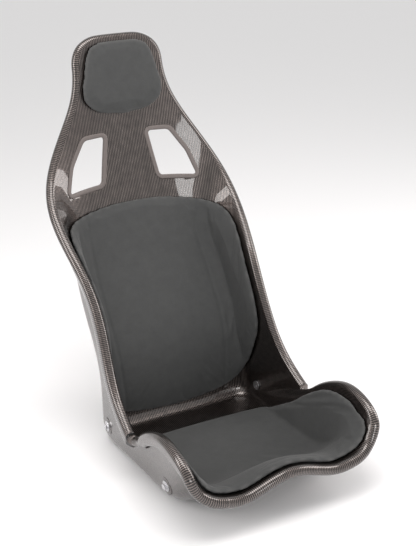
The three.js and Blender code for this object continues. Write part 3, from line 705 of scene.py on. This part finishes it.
def sewn_pad(name, half, centre, thickness, body, nodes, swell):
    verts, faces = pad_shape(half, centre, thickness, 1.5)
    pad = place_piece(name, verts, faces, body, nodes)
    turn_outward(pad)
    view = bpy.context.view_layer
    view.update()

    def settle(modifier_name):
        shape = bpy.data.meshes.new_from_object(pad.evaluated_get(bpy.context.evaluated_depsgraph_get()))
        pad.modifiers.remove(pad.modifiers[modifier_name])
        pad.data = shape

    remesh = pad.modifiers.new("even_cloth", "REMESH")
    remesh.mode = "VOXEL"
    remesh.voxel_size = 0.004
    settle("even_cloth")
    relax = pad.modifiers.new("relax", "SMOOTH")
    relax.factor = 0.5
    relax.iterations = 4
    settle("relax")
    start = np.zeros(len(pad.data.vertices) * 3)
    pad.data.vertices.foreach_get("co", start)
    start = start.reshape(-1, 3)
    lift = np.array([skin_tree.find_nearest(Vector(v))[3] for v in start])
    held = pad.vertex_groups.new(name="held")
    held.add([int(i) for i in np.nonzero(lift < (TAPE_STACK + 2.0) / 1000)[0]], 1.0, "REPLACE")
    puff = pad.modifiers.new("puff", "CLOTH")
    puff.settings.use_pressure = True
    puff.settings.uniform_pressure_force = 4
    puff.settings.mass = 0.3
    puff.settings.vertex_group_mass = "held"
    puff.settings.effector_weights.gravity = 0
    puff.collision_settings.use_collision = False
    puff.point_cache.frame_start = 1
    puff.point_cache.frame_end = 20
    for moment in range(1, 21):
        bpy.context.scene.frame_set(moment)
    settle("puff")
    bpy.context.scene.frame_set(1)
    puffed = np.zeros(len(start) * 3)
    pad.data.vertices.foreach_get("co", puffed)
    move = puffed.reshape(-1, 3) - start
    far = np.linalg.norm(move, axis=1, keepdims=True)
    move *= np.minimum(1, swell / 1000 / np.maximum(far, 1e-9))
    pad.data.vertices.foreach_set("co", (start + move).ravel())
    pad.data.shade_smooth()
    return pad


def soften(pad, subdivide=True):
    if subdivide:
        rounder = pad.modifiers.new("rounder", "SUBSURF")
        rounder.levels = 1
        rounder.render_levels = 1


suede = bpy.data.materials.new("grey_suede_cloth")
suede_shader = shader_of(suede)
suede_place = suede.node_tree.nodes.new("ShaderNodeTexCoord").outputs["Object"]
nap_patches = add_node(suede, "ShaderNodeTexNoise", None, [suede_place])
nap_patches.inputs["Scale"].default_value = 42
nap_patches.inputs["Detail"].default_value = 6
nap_patches.inputs["Roughness"].default_value = 0.7
fine_nap = add_node(suede, "ShaderNodeTexNoise", None, [suede_place])
fine_nap.inputs["Scale"].default_value = 1100
fine_nap.inputs["Detail"].default_value = 3
# Painted highlight: the nap is painted lighter along each pad's rolled top edge, in place of the sheen that light
# gives there.
painted_edge_sheen = suede.node_tree.nodes.new("ShaderNodeAttribute")
painted_edge_sheen.attribute_name = "painted_edge_sheen"
nap_colour = blend_colours(suede, nap_patches.outputs[0], (0.030, 0.031, 0.031), (0.062, 0.063, 0.063))
speck_colour = blend_colours(suede, sum_of(suede, "MULTIPLY", fine_nap.outputs[0], 0.5), nap_colour,
                             (0.085, 0.087, 0.087))
painted_sheen_colour = blend_colours(suede, sum_of(suede, "MULTIPLY", painted_edge_sheen.outputs["Fac"], 0.6), speck_colour,
                            (0.13, 0.128, 0.126))
suede.node_tree.links.new(painted_sheen_colour, suede_shader.inputs["Base Color"])
nap_height = sum_of(suede, "MULTIPLY_ADD", nap_patches.outputs[0], 0.6, fine_nap.outputs[0])
suede.node_tree.links.new(bumped(suede, nap_height, 0.35, 0.0006), suede_shader.inputs["Normal"])
suede_shader.inputs["Roughness"].default_value = 0.95
suede_shader.inputs["Specular IOR Level"].default_value = 0.2
suede_shader.inputs["Sheen Weight"].default_value = 0.12
suede_shader.inputs["Sheen Roughness"].default_value = 0.4


def finish_pad(pad, half, centre):
    """Paints a light edge highlight on the nap, lighter towards the rolled edge, and gives the pad its suede."""
    co = np.zeros(len(pad.data.vertices) * 3)
    pad.data.vertices.foreach_get("co", co)
    co = co.reshape(-1, 3)
    rim_line = pad_outline(half)
    rim_points = skin_point(rim_line[:, 0], rim_line[:, 1]) / 1000
    nearest = np.min(np.linalg.norm(co[:, None, :] - rim_points[None, ::3, :], axis=2), axis=1)
    lift = np.array([skin_tree.find_nearest(Vector(v))[3] for v in co])
    # Painted highlight mask: strongest near the pad's outline and where the pad stands off the skin, so along the
    # rolled top edge.
    painted_sheen_share = np.clip(1.3 - nearest / 0.011, 0, 1) * np.clip(lift / 0.010, 0, 1)
    mark = pad.data.attributes.new("painted_edge_sheen", "FLOAT", "POINT")
    mark.data.foreach_set("value", painted_sheen_share.astype(np.float32))
    pad.data.materials.append(suede)


def press(pad, depth_at):
    """Moves the top of a pad towards the skin by depth_at(points), in millimetres."""
    co = np.zeros(len(pad.data.vertices) * 3)
    pad.data.vertices.foreach_get("co", co)
    co = co.reshape(-1, 3)
    lift = np.zeros(len(co))
    way = np.zeros_like(co)
    for i, v in enumerate(co):
        place, _, _, distance = skin_tree.find_nearest(Vector(v))
        lift[i] = distance
        way[i] = (v - np.array(place)) / max(distance, 1e-6)
    top = np.clip((lift * 1000 - TAPE_STACK - 2) / 3, 0, 1)
    co -= way * (depth_at(co * 1000) * top)[:, None] / 1000
    pad.data.vertices.foreach_set("co", co.ravel())


# Seat pad: covers the pan, climbs both thigh bolsters and runs up the ramp to the front lip.
# It creases where the ramp starts, and the crotch belt comes through a slit in that crease.
SEAT_HALF = [(0.06, 0), (0.07, 80), (0.12, 130), (0.28, 175), (0.73, 226), (1.4, 280), (2.3, 338),
             (3.2, 358), (3.87, 362), (4.12, 340), (4.18, 290), (4.34, 240), (4.47, 150), (4.51, 0)]
seat_pad = sewn_pad("seat_pad", SEAT_HALF, 2.5, 9, "seat_pad", ["seat_pad_cover", "seat_pad_foam"], 3)


def seat_creases(p):
    crease_y = CROTCH_Y - 0.0022 * (p[:, 0] + 10) ** 2
    crease = 6.0 * np.exp(-((p[:, 1] - crease_y) / 7) ** 2) * np.exp(-(np.abs(p[:, 0] + 10) / 110) ** 4)
    folds = 0.9 * np.sin((p[:, 0] * 0.7 + p[:, 1] * 0.72) / 6.5)
    folds *= np.exp(-((p[:, 0] - 70) / 45) ** 2) * np.exp(-((p[:, 1] + 190) / 45) ** 2)
    return crease + folds


press(seat_pad, seat_creases)
slit = rounded_outline([
    [-CROTCH_HALF_LENGTH + 2, CROTCH_Y - 4], [CROTCH_HALF_LENGTH - 2, CROTCH_Y - 4],
    [CROTCH_HALF_LENGTH - 2, CROTCH_Y + 4], [-CROTCH_HALF_LENGTH + 2, CROTCH_Y + 4]], 3.8, 40)
slit_verts = [(x / 1000, y / 1000, z) for z in (0.0, 0.16) for x, y in slit]
slit_faces = [tuple(range(40))[::-1], tuple(range(40, 80))]
slit_faces += [(i, (i + 1) % 40, 40 + (i + 1) % 40, 40 + i) for i in range(40)]
slit_mesh = bpy.data.meshes.new("slit_cutter")
slit_mesh.from_pydata(slit_verts, [], slit_faces)
slit_cutter = bpy.data.objects.new("slit_cutter", slit_mesh)
bpy.context.scene.collection.objects.link(slit_cutter)
turn_outward(slit_cutter)
slitting = seat_pad.modifiers.new("slit", "BOOLEAN")
slitting.operation = "DIFFERENCE"
slitting.solver = "EXACT"
slitting.object = slit_cutter
bpy.context.view_layer.update()
slit_pad = bpy.data.meshes.new_from_object(seat_pad.evaluated_get(bpy.context.evaluated_depsgraph_get()))
seat_pad.modifiers.remove(slitting)
seat_pad.data = slit_pad
bpy.data.objects.remove(slit_cutter)
finish_pad(seat_pad, SEAT_HALF, 2.5)
soften(seat_pad)

# Back pad: from just over the rear corner to below the belt slots, and a little way onto
# both bolsters, with a flat sewn seam down each side.
BACK_HALF = [(5.76, 0), (5.82, 60), (5.91, 112), (6.06, 155), (6.31, 195), (6.63, 227), (6.98, 259),
             (7.35, 289), (7.7, 299), (8.07, 287), (8.31, 265), (8.49, 235), (8.63, 193), (8.77, 110),
             (8.83, 0)]
back_pad = sewn_pad("back_pad", BACK_HALF, 7.4, 11, "back_pad", ["back_pad_cover", "back_pad_foam"], 4)


def back_seams(p):
    seam_x = 128 + 10 * np.sin(np.clip((p[:, 2] - 60) / 420, 0, 1) * math.pi)
    return 1.8 * np.exp(-((np.abs(p[:, 0]) - seam_x) / 3.2) ** 2)


press(back_pad, back_seams)
finish_pad(back_pad, BACK_HALF, 7.4)
soften(back_pad)

# Head pad: a rounded shield of the same suede on the head of the shell, held on
# its own tape and left plain.
HEAD_HALF = [(9.87, 0), (9.885, 30), (9.92, 65), (10.03, 93), (10.2, 100), (10.42, 93), (10.75, 81),
             (10.87, 72), (10.95, 54), (10.98, 0)]
head_pad = sewn_pad("head_pad", HEAD_HALF, 10.45, 9, "head_pad", ["head_pad_cover", "head_pad_foam"], 3)
finish_pad(head_pad, HEAD_HALF, 10.45)
soften(head_pad)
